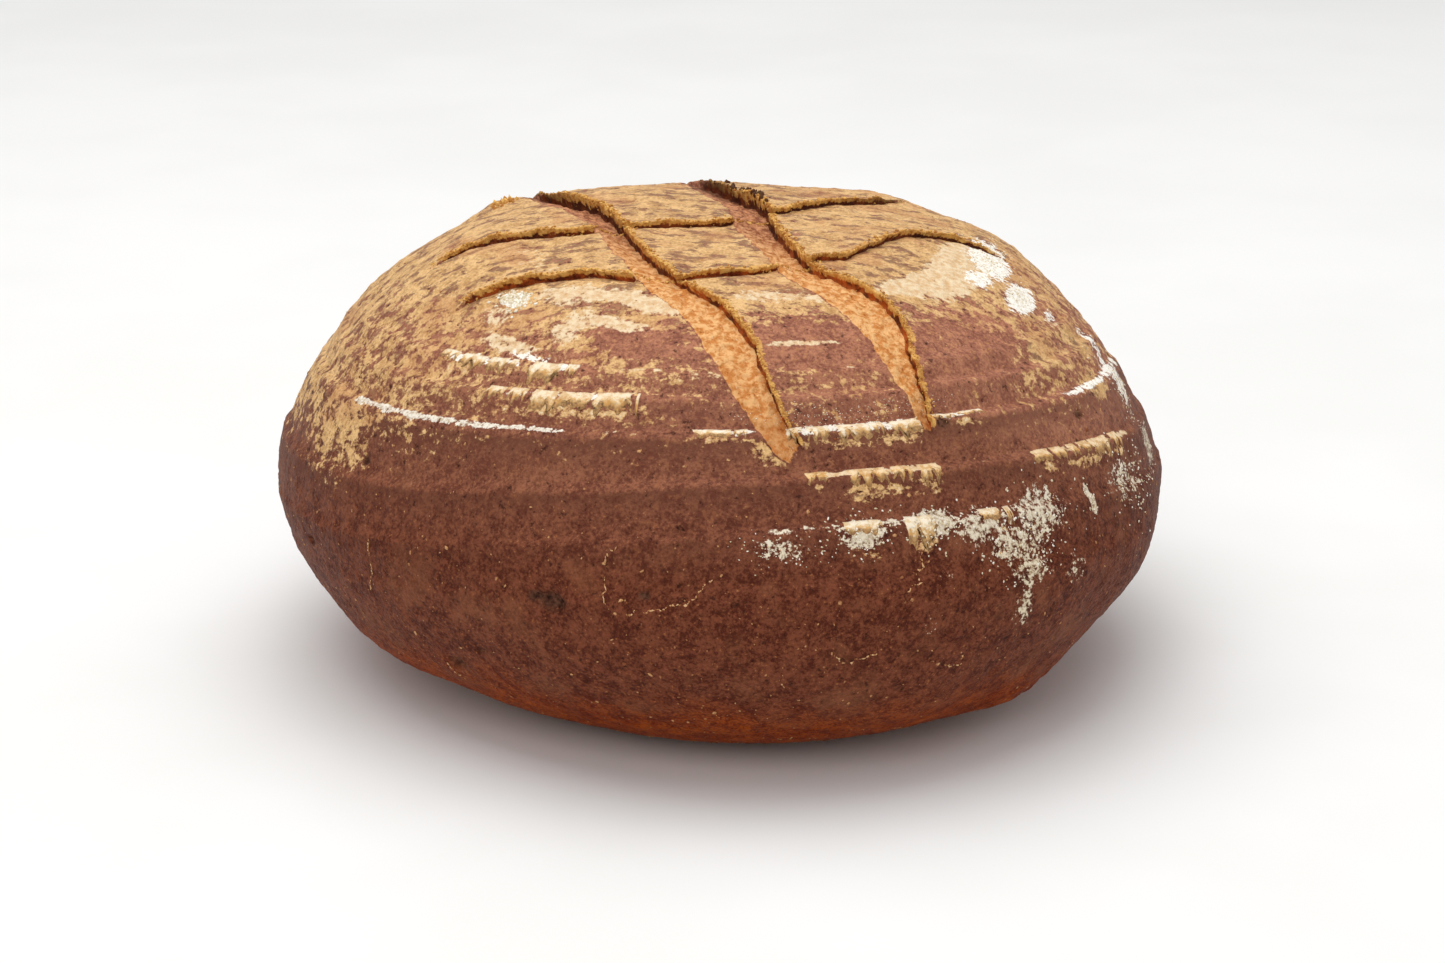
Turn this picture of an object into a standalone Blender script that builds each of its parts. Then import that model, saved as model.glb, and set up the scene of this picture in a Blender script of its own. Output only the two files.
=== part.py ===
"""Sourdough loaf: a round hearth loaf proofed in a coiled cane basket.

The loaf is one solid. It has a flat base, a belly that rolls under, a broad crown,
the ledges that the basket's coils leave, and four slashes that cross like a hash:
two long ones that opened wide, and two short ones that only lifted an edge.
Metres, +Z up, origin at the middle of the base on the surface that the loaf stands on.
The front of the loaf faces -Y.
"""
import math

import bmesh
import bpy
import numpy as np
from mathutils import Vector, noise

# Overall size
LOAF_RADIUS = 0.125
LOAF_HEIGHT = 0.1285
BELLY_HEIGHT = 0.0545
BASE_RADIUS = 0.059

# How full the dome and the roll-under are: 2 would be a plain ellipse
DOME_FULLNESS_OUT = 3.4
DOME_FULLNESS_UP = 1.4
BELLY_FULLNESS_OUT = 2.05
BELLY_FULLNESS_DOWN = 1.85

# Uneven plan: lobes as (count around, share of the radius, azimuth of a crest in degrees)
PLAN_LOBES = ((1, 0.012, 166.0), (2, 0.022, -26.0), (3, 0.022, 46.0))
CROWN_LEAN = 0.029

# Basket coils, from the crown down: (height at the front, height at the back, depth of the ledge)
COIL_LEDGES = (
    (0.1120, 0.1010, 0.0010),
    (0.1070, 0.0940, 0.0016),
    (0.1000, 0.0850, 0.0024),
    (0.0900, 0.0650, 0.0022),
    (0.0780, 0.0500, 0.0018),
    (0.0640, 0.0380, 0.0012),
)
COIL_FRONT_AZIMUTH = math.radians(-73.0)
COIL_FRONT_SHARPNESS = 2.6
LEDGE_HALF_WIDTH = 0.0016

# Slashes, in plan. Each stop is (x, y, half width) along the middle of the opening.
# The lifted edge is on the left of the direction of travel.
LONG_SLASHES = (
    (
        (-0.068, 0.066, 0.0015),
        (-0.051, 0.029, 0.0045),
        (-0.041, 0.010, 0.0052),
        (-0.035, -0.006, 0.0048),
        (-0.0255, -0.036, 0.0044),
        (-0.0195, -0.050, 0.0052),
        (-0.0065, -0.069, 0.0060),
        (-0.0005, -0.080, 0.0068),
        (0.004, -0.090, 0.0055),
        (0.010, -0.100, 0.0034),
        (0.018, -0.108, 0.0010),
    ),
    (
        (-0.020, 0.078, 0.0015),
        (-0.005, 0.036, 0.0055),
        (0.004, 0.014, 0.0062),
        (0.007, -0.007, 0.0064),
        (0.013, -0.027, 0.0056),
        (0.0195, -0.044, 0.0060),
        (0.032, -0.056, 0.0080),
        (0.039, -0.064, 0.0074),
        (0.045, -0.078, 0.0046),
        (0.049, -0.087, 0.0028),
        (0.0525, -0.094, 0.0010),
    ),
)
SHORT_SLASHES = (
    (
        (-0.088, -0.012, 0.0012),
        (-0.072, -0.008, 0.0022),
        (-0.048, -0.011, 0.0024),
        (-0.029, -0.010, 0.0024),
        (-0.012, -0.007, 0.0024),
        (0.002, -0.004, 0.0024),
        (0.017, 0.009, 0.0024),
        (0.032, 0.025, 0.0024),
        (0.054, 0.046, 0.0012),
    ),
    (
        (-0.080, -0.042, 0.0012),
        (-0.064, -0.040, 0.0022),
        (-0.042, -0.043, 0.0024),
        (-0.019, -0.051, 0.0024),
        (0.000, -0.047, 0.0024),
        (0.018, -0.041, 0.0024),
        (0.032, -0.032, 0.0024),
        (0.047, -0.009, 0.0024),
        (0.062, 0.004, 0.0020),
        (0.080, 0.006, 0.0012),
    ),
)
LONG_SLASH_DEPTH = 0.0050
LONG_SLASH_LIP = 0.0022
SHORT_SLASH_DEPTH = 0.0016
SHORT_SLASH_LIP = 0.0022
LIP_FALL_OFF = 0.0090
WALL_STARTS = 0.70
DOME_BLEND = 0.020

# Hollows and bulges: (azimuth in degrees, height, spread, amount outwards)
HOLLOWS_AND_BULGES = (
    (-110.0, 0.048, 0.008, -0.0016),
    (-47.0, 0.028, 0.022, -0.0020),
    (-68.0, 0.024, 0.018, 0.0016),
    (-26.0, 0.040, 0.018, 0.0018),
    (-150.0, 0.024, 0.018, 0.0016),
    (35.0, 0.060, 0.030, 0.0022),
    (80.0, 0.045, 0.028, -0.0020),
    (128.0, 0.066, 0.030, 0.0020),
)
UNEVENNESS = 0.0011
UNEVENNESS_LUMP = 0.030
STILL_BELOW = 0.016

# Mesh: a fine blank, thinned once its relief is on
SEGMENTS = 240
ROW_STEP = 0.0016
TRIANGLES = 9400
FLAT_WITHIN = 0.0003
PROFILE_SAMPLES = 400
PATH_SAMPLES = 80

# Crust finish
CRUST_COLOUR = (0.196, 0.062, 0.026, 1.0)
CRUST_ROUGHNESS = 0.72


def clear_scene():
    for thing in list(bpy.data.objects):
        bpy.data.objects.remove(thing, do_unlink=True)


def smooth_ramp(value):
    clipped = np.clip(value, 0.0, 1.0)
    return clipped * clipped * (3.0 - 2.0 * clipped)


class Profile:
    """The loaf's half section, walked from the crown down the side to the middle of the base."""

    def __init__(self):
        quarter = np.linspace(0.0, math.pi / 2.0, PROFILE_SAMPLES)
        out, up = np.cos(quarter), np.sin(quarter)
        dome_r = LOAF_RADIUS * out ** (2.0 / DOME_FULLNESS_OUT)
        dome_z = BELLY_HEIGHT + (LOAF_HEIGHT - BELLY_HEIGHT) * up ** (2.0 / DOME_FULLNESS_UP)
        under_r = BASE_RADIUS + (LOAF_RADIUS - BASE_RADIUS) * out ** (2.0 / BELLY_FULLNESS_OUT)
        under_z = BELLY_HEIGHT * (1.0 - up ** (2.0 / BELLY_FULLNESS_DOWN))
        self.radius = np.concatenate([dome_r[::-1], under_r[1:], [0.0]])
        self.height = np.concatenate([dome_z[::-1], under_z[1:], [0.0]])
        self.radius[0] = 0.0
        self.height[-2] = 0.0
        steps = np.hypot(np.diff(self.radius), np.diff(self.height))
        self.walk = np.concatenate([[0.0], np.cumsum(steps)])
        self.base_edge = self.walk[-2]
        self.angle = np.arctan2(self.height - BELLY_HEIGHT, self.radius)

    def walk_at_height(self, height):
        return np.interp(-height, -self.height[:-1], self.walk[:-1])

    def walk_at_point(self, radius, height):
        angle = np.arctan2(height - BELLY_HEIGHT, radius)
        return np.interp(-angle, -self.angle, self.walk)

    def point(self, walk):
        return np.interp(walk, self.walk, self.radius), np.interp(walk, self.walk, self.height)

    def normal(self, walk):
        reach = 0.002
        r_before, z_before = self.point(walk - reach)
        r_after, z_after = self.point(walk + reach)
        out, up = z_before - z_after, r_after - r_before
        length = np.maximum(np.hypot(out, up), 1e-9)
        return out / length, up / length


def coil_anchors(profile, column):
    """Walk of the crown, each ledge and the base, at the front (column 0) or the back (column 1)."""
    ledges = [profile.walk_at_height(ledge[column]) for ledge in COIL_LEDGES]
    return np.array([0.0] + ledges + [profile.base_edge, profile.walk[-1]])


def settled_walk(profile, walk, azimuth):
    """The coils sit higher at the front than at the back, so rows slide down towards the back."""
    front = coil_anchors(profile, 0)
    back = coil_anchors(profile, 1)
    facing = ((1.0 + np.cos(azimuth - COIL_FRONT_AZIMUTH)) / 2.0) ** COIL_FRONT_SHARPNESS
    return facing * walk + (1.0 - facing) * np.interp(walk, front, back)


def ledge_relief(profile, walk, azimuth):
    """Below each coil mark the crust stands proud, and it falls back to the next mark."""
    places, reliefs = [0.0], [0.0]
    for front_height, _, depth in COIL_LEDGES:
        mark = profile.walk_at_height(front_height)
        places += [mark - LEDGE_HALF_WIDTH, mark + LEDGE_HALF_WIDTH]
        reliefs += [-0.5 * depth, 0.5 * depth]
    places += [places[-1] + 0.014, profile.walk[-1]]
    reliefs += [0.0, 0.0]
    fade = 0.8 + 0.2 * np.sin(3.0 * azimuth + 40.0 * walk)
    return np.interp(walk, places, reliefs) * fade


def plan_scale(azimuth):
    scale = np.ones_like(azimuth)
    for count, share, crest in PLAN_LOBES:
        scale += share * np.cos(count * (azimuth - math.radians(crest)))
    return scale


def smooth_path(stops):
    """A smooth curve through a slash's stops, as rows of x, y and half width."""
    stops = np.array(stops)
    padded = np.vstack([2.0 * stops[0] - stops[1], stops, 2.0 * stops[-1] - stops[-2]])
    along = np.linspace(0.0, len(stops) - 1.0, PATH_SAMPLES)
    index = np.minimum(along.astype(int), len(stops) - 2)
    share = (along - index)[:, None]
    before, start, end, after = (padded[index + k] for k in range(4))
    return 0.5 * (
        2.0 * start
        + (end - before) * share
        + (2.0 * before - 5.0 * start + 4.0 * end - after) * share ** 2
        + (3.0 * start - before - 3.0 * end + after) * share ** 3
    )


def slash_relief(points, stops, depth, lip):
    """Relief of one slash: a floor that deepens towards the wall, and a lifted edge past it."""
    path = smooth_path(stops)
    starts, spans = path[:-1, :2], np.diff(path[:, :2], axis=0)
    offsets = points[:, None, :2] - starts[None]
    share = np.clip((offsets * spans).sum(-1) / (spans ** 2).sum(-1), 0.0, 1.0)
    gaps = offsets - share[..., None] * spans
    distance = np.hypot(gaps[..., 0], gaps[..., 1])
    nearest = distance.argmin(axis=1)
    rows = np.arange(len(points))
    side = np.sign(spans[nearest, 0] * gaps[rows, nearest, 1] - spans[nearest, 1] * gaps[rows, nearest, 0])
    place = (nearest + share[rows, nearest]) / (len(path) - 1.0)
    half_width = np.interp(place, np.linspace(0.0, 1.0, len(path)), path[:, 2])
    across = side * distance[rows, nearest] / half_width
    ends = smooth_ramp(np.minimum(place, 1.0 - place) / 0.12)
    wall = smooth_ramp((across - WALL_STARTS) / (1.0 - WALL_STARTS))
    floor = smooth_ramp((across + 1.0) / (1.0 + WALL_STARTS)) * (1.0 - wall)
    beyond = np.maximum(across - 1.0, 0.0) * half_width
    edge = wall * np.exp(-beyond / LIP_FALL_OFF)
    return ends * (lip * edge - depth * floor), ends * floor


def slashes_relief(points):
    """All the slashes together, on the dome only, and how open the crust is at each point."""
    relief = np.zeros(len(points))
    open_share = np.zeros(len(points))
    for stops in LONG_SLASHES:
        amount, floor = slash_relief(points, stops, LONG_SLASH_DEPTH, LONG_SLASH_LIP)
        relief += amount
        open_share = np.maximum(open_share, floor)
    for stops in SHORT_SLASHES:
        amount, _ = slash_relief(points, stops, SHORT_SLASH_DEPTH, SHORT_SLASH_LIP)
        relief += amount * (1.0 - open_share)
    on_dome = smooth_ramp((points[:, 2] - BELLY_HEIGHT) / DOME_BLEND)
    return relief * on_dome, open_share * on_dome


def hollows_relief(points, profile):
    relief = np.zeros(len(points))
    for azimuth, height, spread, amount in HOLLOWS_AND_BULGES:
        radius, _ = profile.point(profile.walk_at_height(height))
        turn = math.radians(azimuth)
        centre = np.array([radius * math.cos(turn), radius * math.sin(turn), height])
        gap = np.linalg.norm(points - centre, axis=1)
        relief += amount * np.exp(-((gap / spread) ** 2))
    return relief


def uneven_relief(points):
    lumps = [noise.noise(Vector(point) / UNEVENNESS_LUMP) for point in points]
    return UNEVENNESS * np.array(lumps)


def lean(points):
    rise = np.clip((points[:, 2] - BELLY_HEIGHT) / (LOAF_HEIGHT - BELLY_HEIGHT), 0.0, 1.0)
    leaned = points.copy()
    leaned[:, 2] -= CROWN_LEAN * points[:, 0] * rise
    return leaned


def loaf_points(profile, walk, azimuth):
    """Where each point of the turned blank ends up on the loaf."""
    settled = settled_walk(profile, walk, azimuth)
    radius, height = profile.point(settled)
    out, up = profile.normal(settled)
    scale = plan_scale(azimuth)
    points = np.stack([radius * scale * np.cos(azimuth), radius * scale * np.sin(azimuth), height], axis=1)
    points = lean(points)
    normals = np.stack([out * np.cos(azimuth), out * np.sin(azimuth), up], axis=1)
    cuts, open_share = slashes_relief(points)
    relief = ledge_relief(profile, walk, azimuth) * (1.0 - open_share) + cuts
    relief += hollows_relief(points, profile) + uneven_relief(points)
    relief *= smooth_ramp(height / STILL_BELOW)
    points = points + normals * relief[:, None]
    points[settled >= profile.base_edge - 1e-6, 2] = 0.0
    points[:, 2] = np.maximum(points[:, 2], 0.0)
    return points


def blank_rows(profile):
    """Walks of the rows: evenly down the crust, then in to the middle of the base."""
    count = round(profile.base_edge / ROW_STEP)
    crust_rows = np.linspace(0.0, profile.base_edge, count)
    base_rows = profile.base_edge + BASE_RADIUS * np.array([0.3, 0.65, 1.0])
    return np.concatenate([crust_rows, base_rows])


def turned_blank(profile):
    """The plain half section spun round the upright axis, closed at both ends."""
    shape = bmesh.new()
    verts = []
    for walk in blank_rows(profile):
        radius, height = profile.point(walk)
        verts.append(shape.verts.new((radius, 0.0, height)))
    edges = [shape.edges.new(pair) for pair in zip(verts, verts[1:])]
    bmesh.ops.spin(shape, geom=verts + edges, cent=(0.0, 0.0, 0.0), axis=(0.0, 0.0, 1.0),
                   angle=math.tau, steps=SEGMENTS, use_merge=True)
    bmesh.ops.remove_doubles(shape, verts=shape.verts, dist=1e-6)
    bmesh.ops.triangulate(shape, faces=shape.faces)
    bmesh.ops.recalc_face_normals(shape, faces=shape.faces)
    return shape


def mesh_points(mesh):
    return np.array([vert.co[:] for vert in mesh.vertices])


def thin_out(loaf):
    """Collapse the flattest edges until about the wanted number of triangles is left."""
    thinning = loaf.modifiers.new("thin_out", "DECIMATE")
    thinning.ratio = TRIANGLES / len(loaf.data.polygons)
    thinned = bpy.data.meshes.new_from_object(loaf.evaluated_get(bpy.context.evaluated_depsgraph_get()))
    loaf.modifiers.remove(thinning)
    loaf.data = thinned


def settle_on_base(mesh):
    """Flatten the base exactly and put the middle of the loaf's box over the origin."""
    points = mesh_points(mesh)
    points[points[:, 2] < FLAT_WITHIN, 2] = 0.0
    middle = (points.min(axis=0) + points.max(axis=0)) / 2.0
    points[:, :2] -= middle[:2]
    mesh.vertices.foreach_set("co", points.ravel())
    mesh.update()


def crust_material():
    material = bpy.data.materials.new("crust")
    material.use_nodes = True
    shader = material.node_tree.nodes["Principled BSDF"]
    shader.inputs["Base Color"].default_value = CRUST_COLOUR
    shader.inputs["Roughness"].default_value = CRUST_ROUGHNESS
    shader.inputs["Metallic"].default_value = 0.0
    material.diffuse_color = CRUST_COLOUR
    return material


def make_loaf():
    profile = Profile()
    shape = turned_blank(profile)
    blank = np.array([vert.co[:] for vert in shape.verts])
    azimuth = np.arctan2(blank[:, 1], blank[:, 0])
    walk = profile.walk_at_point(np.hypot(blank[:, 0], blank[:, 1]), blank[:, 2])
    for vert, point in zip(shape.verts, loaf_points(profile, walk, azimuth)):
        vert.co = point
    mesh = bpy.data.meshes.new("loaf")
    shape.to_mesh(mesh)
    shape.free()
    mesh.materials.append(crust_material())
    loaf = bpy.data.objects.new("loaf", mesh)
    bpy.context.scene.collection.objects.link(loaf)
    thin_out(loaf)
    settle_on_base(loaf.data)
    loaf.data.shade_smooth()
    return loaf


def main():
    clear_scene()
    make_loaf()


if __name__ == "__main__":
    main()
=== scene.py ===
"""Looks of a sourdough loaf, laid out as an add-on and run as a script."""
import math
import random

import bmesh
import bpy
import numpy as np
from bpy.props import FloatProperty, FloatVectorProperty, IntProperty, PointerProperty
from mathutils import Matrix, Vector, noise


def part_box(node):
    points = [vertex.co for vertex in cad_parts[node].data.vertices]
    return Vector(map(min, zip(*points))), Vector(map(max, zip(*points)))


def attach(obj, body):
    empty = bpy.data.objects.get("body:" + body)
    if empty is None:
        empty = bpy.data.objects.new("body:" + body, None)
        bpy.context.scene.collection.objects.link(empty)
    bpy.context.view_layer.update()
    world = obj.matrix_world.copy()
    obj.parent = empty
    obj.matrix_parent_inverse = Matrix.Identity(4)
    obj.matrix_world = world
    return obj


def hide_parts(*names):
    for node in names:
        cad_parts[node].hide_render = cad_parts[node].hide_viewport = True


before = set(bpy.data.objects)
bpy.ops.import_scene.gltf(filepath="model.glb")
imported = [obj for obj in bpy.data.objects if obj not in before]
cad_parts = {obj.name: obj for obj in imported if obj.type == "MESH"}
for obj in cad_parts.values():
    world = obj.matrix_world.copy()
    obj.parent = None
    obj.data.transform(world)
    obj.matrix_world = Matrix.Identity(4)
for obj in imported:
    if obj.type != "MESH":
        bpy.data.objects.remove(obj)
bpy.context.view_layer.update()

bl_info = {
    "name": "Sourdough Loaf",
    "version": (1, 0, 0),
    "blender": (4, 5, 0),
    "location": "View3D > Sidebar > Loaf",
    "description": "Builds a basket-proofed sourdough loaf with slashes, flour and crumbs",
    "category": "Object",
}

LOAF_LOW, LOAF_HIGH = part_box("loaf")
BODY = "root"
MM = 0.001


def linear(hex_colour):
    """An sRGB hex colour as linear red, green, blue and alpha."""
    parts = [int(hex_colour[k:k + 2], 16) / 255.0 for k in (1, 3, 5)]
    curve = [c / 12.92 if c <= 0.04045 else ((c + 0.055) / 1.055) ** 2.4 for c in parts]
    return (*curve, 1.0)


# ---------------------------------------------------------------- form of the loaf
# It follows the CAD part. Slashes, hollows and bulges have their own depths here,
# and the ledges fade at the sides.

DOME_FULLNESS_OUT = 3.4
DOME_FULLNESS_UP = 1.4
BELLY_FULLNESS_OUT = 2.05
BELLY_FULLNESS_DOWN = 1.85
PLAN_LOBES = ((1, 0.012, 166.0), (2, 0.022, -26.0), (3, 0.022, 46.0))
CROWN_LEAN = 0.029

# Basket coils, from the crown down: (height at the front, height at the back, depth of the ledge)
COIL_LEDGES = (
    (0.1120, 0.1010, 0.0010),
    (0.1070, 0.0940, 0.0016),
    (0.1000, 0.0850, 0.0024),
    (0.0900, 0.0650, 0.0022),
    (0.0780, 0.0500, 0.0018),
    (0.0640, 0.0380, 0.0012),
)
COIL_FRONT_AZIMUTH = math.radians(-73.0)
COIL_FRONT_SHARPNESS = 2.6
LEDGE_HALF_WIDTH = 0.0012

# Slashes, in plan. Each stop is (x, y, half width) along the middle of the opening.
# The lifted edge is on the left of the direction of travel.
LONG_SLASHES = (
    (
        (-0.068, 0.066, 0.0015),
        (-0.051, 0.029, 0.0045),
        (-0.041, 0.010, 0.0052),
        (-0.035, -0.006, 0.0048),
        (-0.0255, -0.036, 0.0044),
        (-0.0195, -0.050, 0.0052),
        (-0.0065, -0.069, 0.0060),
        (-0.0005, -0.080, 0.0068),
        (0.004, -0.090, 0.0055),
        (0.010, -0.100, 0.0042),
        (0.018, -0.108, 0.0022),
    ),
    (
        (-0.020, 0.078, 0.0015),
        (-0.005, 0.036, 0.0055),
        (0.004, 0.014, 0.0062),
        (0.007, -0.007, 0.0064),
        (0.013, -0.027, 0.0056),
        (0.0195, -0.044, 0.0060),
        (0.032, -0.056, 0.0080),
        (0.039, -0.064, 0.0074),
        (0.045, -0.078, 0.0046),
        (0.049, -0.087, 0.0028),
        (0.0525, -0.094, 0.0010),
    ),
)
SHORT_SLASHES = (
    (
        (-0.088, -0.012, 0.0012),
        (-0.072, -0.008, 0.0022),
        (-0.048, -0.011, 0.0024),
        (-0.029, -0.010, 0.0024),
        (-0.012, -0.007, 0.0024),
        (0.002, -0.004, 0.0024),
        (0.017, 0.009, 0.0024),
        (0.032, 0.025, 0.0024),
        (0.054, 0.046, 0.0012),
    ),
    (
        (-0.080, -0.042, 0.0012),
        (-0.064, -0.040, 0.0022),
        (-0.042, -0.043, 0.0024),
        (-0.019, -0.051, 0.0024),
        (0.000, -0.047, 0.0024),
        (0.018, -0.041, 0.0024),
        (0.032, -0.032, 0.0024),
        (0.047, -0.009, 0.0024),
        (0.062, 0.004, 0.0020),
        (0.080, 0.006, 0.0012),
    ),
)
LONG_SLASH_DEPTH = 0.0027
LONG_SLASH_LIP = 0.0010
SHORT_SLASH_DEPTH = 0.0014
SHORT_SLASH_LIP = 0.0011
SLASH_DEPTHS = ((0.0, 0.35, 0.60, 1.0), (1.25, 1.0, 0.60, 0.45))
LIP_FALL_OFF = 0.0090
LIP_OVERHANG = 0.0012
OVERHANG_WIDTH = 0.0030
EDGE_WIDTH = 0.0014
WALL_STARTS = 0.84
# Shares of a slash's length over which its two ends close
END_FADES = (0.10, 0.05)
# Slashes are looked for this far from their paths and above this height
SLASH_MARGIN = 0.03
SLASH_LOWEST = 0.05
DOME_BLEND = 0.020

# Hollows and bulges: (azimuth in degrees, height, spread, amount outwards)
HOLLOWS_AND_BULGES = (
    (-110.0, 0.048, 0.008, -0.0010),
    (-50.0, 0.036, 0.014, -0.0008),
    (-24.0, 0.027, 0.014, -0.0028),
    (-42.0, 0.012, 0.016, 0.0032),
    (24.0, 0.113, 0.018, 0.0022),
    (50.0, 0.121, 0.013, 0.0018),
    (149.0, 0.119, 0.009, 0.0024),
    (142.0, 0.128, 0.016, 0.0012),
    (8.0, 0.087, 0.012, -0.0016),
    (-158.0, 0.022, 0.012, 0.0012),
    (-68.0, 0.024, 0.018, 0.0016),
    (-26.0, 0.040, 0.018, 0.0018),
    (-150.0, 0.024, 0.018, 0.0016),
    (35.0, 0.060, 0.030, 0.0022),
    (80.0, 0.045, 0.028, -0.0020),
    (128.0, 0.066, 0.030, 0.0020),
    (-111.0, 0.058, 0.0050, 0.0009),
    (-134.0, 0.024, 0.0050, 0.0010),
)
# Holes in the skin: (azimuth in degrees, height, radius, depth)
PITS = (
    (-113.0, 0.0550, 0.0036, 0.0026),
    (-115.5, 0.0560, 0.0018, 0.0012),
    (-132.0, 0.0270, 0.0022, 0.0020),
    (-126.0, 0.0340, 0.0014, 0.0012),
    (-160.0, 0.0480, 0.0014, 0.0012),
    (-101.0, 0.0600, 0.0012, 0.0010),
    (-150.0, 0.0760, 0.0012, 0.0010),
    (-58.0, 0.0980, 0.0013, 0.0010),
    (-30.0, 0.0900, 0.0013, 0.0010),
    (12.0, 0.0500, 0.0030, 0.0020),
    (64.0, 0.0420, 0.0024, 0.0018),
    (118.0, 0.0400, 0.0030, 0.0020),
    (152.0, 0.0620, 0.0016, 0.0012),
)
UNEVENNESS = 0.0011
UNEVENNESS_LUMP = 0.030
STILL_BELOW = 0.016
FOOT_ROUGHNESS = 0.0003
# Folds of skin on the front of the belly: (azimuth in degrees, walk), spread along each axis, depth, pitch
FOLD_PLACE = (-98.0, 0.146)
FOLD_SPREAD = (0.026, 0.040, 0.013)
FOLD_DEPTH = 0.00042
FOLD_PITCH = 0.0046
# How far below the lowest ledge its relief dies out
LEDGE_TAIL = 0.014

PROFILE_SAMPLES = 400
PATH_SAMPLES = 80

# ---------------------------------------------------------------- where films of flour and colour lie

# Washes: (azimuth in degrees, walk from the crown in mm, spread around in mm, spread down in mm, amount)
GOLD_WASHES = (
    (-76, 80, 20, 9, -0.34),
    (-48, 92, 24, 13, -0.22),
    (-106, 84, 14, 6, -0.25),
    (-92, 106, 16, 7, -0.08),
    (-27, 101, 6, 4, 0.45),
    (-11, 107, 7, 5, 0.35),
    (-20, 119, 8, 4, 0.45),
    (-30, 112, 24, 14, 0.08),
    (-72, 128, 7, 3, 0.40),
    (-84, 116, 6, 4, 0.35),
    (-150, 122, 34, 16, 0.08),
    (-158, 140, 18, 12, 0.22),
    (175, 130, 40, 22, 0.16),
)
CREAM_WASHES = (
    (-24, 68, 23, 9, 0.95),
    (-42, 64, 13, 4.6, 0.75),
    (-6, 68, 16, 9, 0.85),
    (-80, 60, 17, 5, 0.55),
    (-60, 63, 12, 6, 0.40),
    (-116, 66, 18, 4.6, 0.66),
    (-130, 74, 14, 5, 0.55),
    (-142, 86, 7, 5, 0.58),
    (-106, 70, 12, 4, 0.55),
    (-115, 79, 13, 3.4, 0.66),
    (-124, 86, 6, 5, 0.62),
    (-134, 94, 14, 3.4, 0.66),
    (-95, 94, 12, 3, 0.42),
    (-152, 62, 24, 9, 0.40),
    (-12, 98, 9, 4, 0.50),
    (-76, 81, 13, 1.4, 0.62),
    (60, 72, 20, 8, 0.60),
    (120, 76, 20, 7, 0.55),
)
ROSY_WASHES = (
    (-26, 106, 42, 24, 0.95),
    (-70, 100, 30, 6, 0.15),
    (165, 105, 40, 14, -0.25),
)
FLOUR_WASHES = (
    (-142, 79, 5.5, 3.6, 0.85),
    (-1, 75, 17, 7.5, 0.95),
    (-18, 74, 9, 5, 0.72),
    (-14, 87, 14, 5.6, 0.90),
    (-11, 97, 7, 2.6, 0.60),
    (-9, 124, 7, 12, 0.62),
    (-6, 112, 5, 8, 0.55),
    (-128, 96, 12, 1.8, 0.56),
    (-9, 146, 12, 8, 0.56),
    (-84, 142, 9, 4, 0.50),
    (-73.5, 139, 8, 5, 0.64),
    (-64, 138, 9, 4.6, 0.72),
    (-57, 141, 11, 6.5, 0.58),
    (-47, 141, 12, 8.5, 0.57),
    (-52, 148, 14, 6.5, 0.55),
    (-51, 156, 9, 6.5, 0.54),
    (-52, 166, 5, 8, 0.50),
    (-43, 160, 6, 6, 0.44),
    (-36.5, 144, 1.6, 5, 0.95),
    (-26, 145, 12, 8, 0.50),
    (-64, 152, 5, 4, 0.32),
    (-66, 166, 3, 6, 0.34),
    (62, 76, 10, 5, 0.75),
    (96, 142, 15, 8, 0.52),
    (140, 122, 10, 5, 0.50),
    (30, 140, 12, 8, 0.48),
)
# Flour along the ledges: (ledge, first and last azimuth in degrees, strength, half width in mm, golden share)
LEDGE_FLOUR = (
    (0, -146, -127, 1.0, 1.8, 0.1),
    (0, -126, -117, 1.0, 1.6, 0.1),
    (0, -112, -100, 0.6, 1.0, 0.9),
    (0, -84, -66, 0.5, 1.0, 0.8),
    (1, -133, -105, 1.0, 1.5, 0.3),
    (2, -160, -114, 0.95, 1.0, 0.0),
    (2, -112, -97, 0.6, 0.9, 0.8),
    (2, -96, -85, 1.0, 1.2, 0.0),
    (2, -82, -61, 1.0, 2.0, 0.1),
    (2, -60, -49, 0.9, 1.1, 0.1),
    (2, -33, 0, 0.9, 1.4, 0.1),
    (3, -152, -98, 0.45, 0.9, 0.6),
    (3, -80, -60, 1.0, 1.3, 0.9),
    (3, -58, -48, 0.5, 1.0, 0.5),
    (3, -46, -17, 0.9, 1.4, 0.7),
    (4, -88, -40, 0.55, 1.4, 0.0),
    (4, -35, -10, 0.55, 1.4, 0.0),
    (0, 20, 60, 0.7, 1.2, 0.3),
    (1, 60, 120, 0.9, 1.3, 0.4),
    (2, 20, 70, 0.8, 1.2, 0.1),
    (2, 100, 172, 0.8, 1.2, 0.1),
    (3, 10, 60, 0.8, 1.2, 0.5),
    (3, 110, 150, 0.6, 1.2, 0.2),
    (4, 40, 90, 0.5, 1.2, 0.1),
)
# Plates of cracked flour paste: (ledge, first and last azimuth in degrees, drop in mm, golden share)
PASTE_PLATES = (
    (0, -146, -128, 4.6, 0.15),
    (0, -126, -117, 5.0, 0.20),
    (1, -132, -104, 5.2, 0.35),
    (2, -96, -86, 2.4, 0.00),
    (2, -82, -61, 4.6, 0.15),
    (2, -59, -50, 2.4, 0.10),
    (3, -80, -76, 3.4, 0.80),
    (3, -74, -60, 5.6, 0.60),
    (3, -45, -22, 4.4, 0.55),
    (4, -76, -70, 6.5, 0.10),
    (4, -68, -63, 7.5, 0.10),
    (4, -57, -51, 6.0, 0.25),
    (0, 25, 55, 4.4, 0.30),
    (1, 66, 112, 5.0, 0.35),
    (2, 118, 165, 4.0, 0.20),
    (3, 16, 52, 4.4, 0.50),
)
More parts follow.
